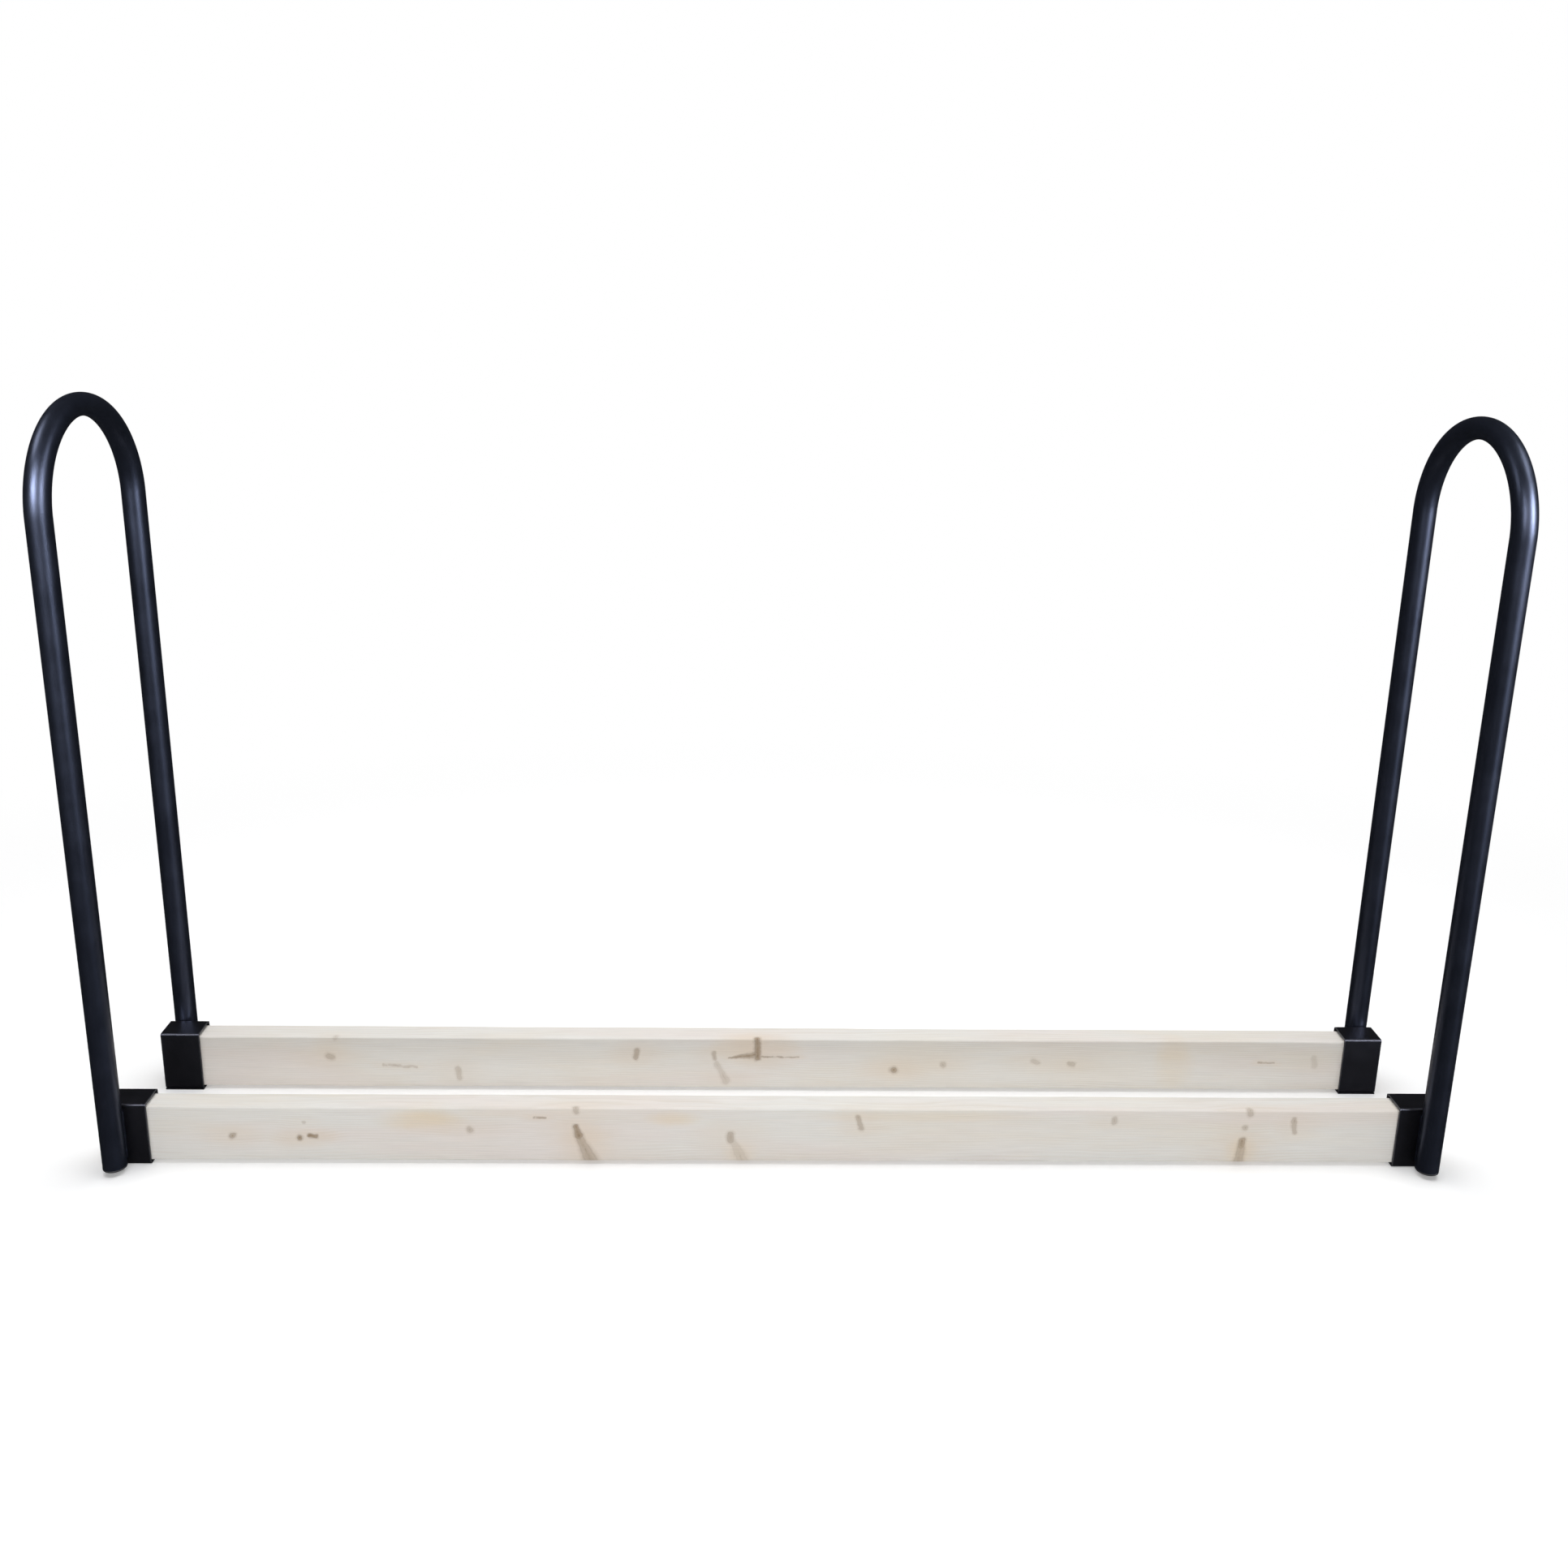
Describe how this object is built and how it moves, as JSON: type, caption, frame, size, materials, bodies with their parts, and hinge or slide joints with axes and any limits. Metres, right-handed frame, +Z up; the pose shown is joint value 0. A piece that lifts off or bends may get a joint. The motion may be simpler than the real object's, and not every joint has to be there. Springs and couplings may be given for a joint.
{
  "type": "firewood log rack",
  "caption": "Free-standing rack that keeps stacked firewood off the ground: bent steel tube uprights whose welded sockets hold lumber rails standing on edge.",
  "frame": {"origin": "centre of the rack's footprint, on the ground that its sockets stand on", "axes": "+X along the rails, to the right seen from the front; -Y is the front; +Z is up"},
  "size_m": [1.993, 0.3122, 1.1236],
  "materials": {
    "powder_coat": "satin black powder coat on steel",
    "lumber": "planed pale spruce, bare, with small knots",
    "cap_plastic": "moulded black polyethylene",
    "screw_steel": "black oxide"
  },
  "bodies": {
    "root": {"left_upright_tube": "powder_coat", "right_upright_tube": "powder_coat", "front_rail": "lumber", "rear_rail": "lumber", "left_front_socket": "powder_coat", "left_front_foot_cap": "cap_plastic", "left_front_inner_weld": "powder_coat", "left_front_outer_weld": "powder_coat", "left_front_screw_1": "screw_steel", "left_front_screw_2": "screw_steel", "left_rear_socket": "powder_coat", "left_rear_foot_cap": "cap_plastic", "left_rear_inner_weld": "powder_coat", "left_rear_outer_weld": "powder_coat", "left_rear_screw_1": "screw_steel", "left_rear_screw_2": "screw_steel", "right_front_socket": "powder_coat", "right_front_foot_cap": "cap_plastic", "right_front_inner_weld": "powder_coat", "right_front_outer_weld": "powder_coat", "right_front_screw_1": "screw_steel", "right_front_screw_2": "screw_steel", "right_rear_socket": "powder_coat", "right_rear_foot_cap": "cap_plastic", "right_rear_inner_weld": "powder_coat", "right_rear_outer_weld": "powder_coat", "right_rear_screw_1": "screw_steel", "right_rear_screw_2": "screw_steel"}
  },
  "joints": []
}
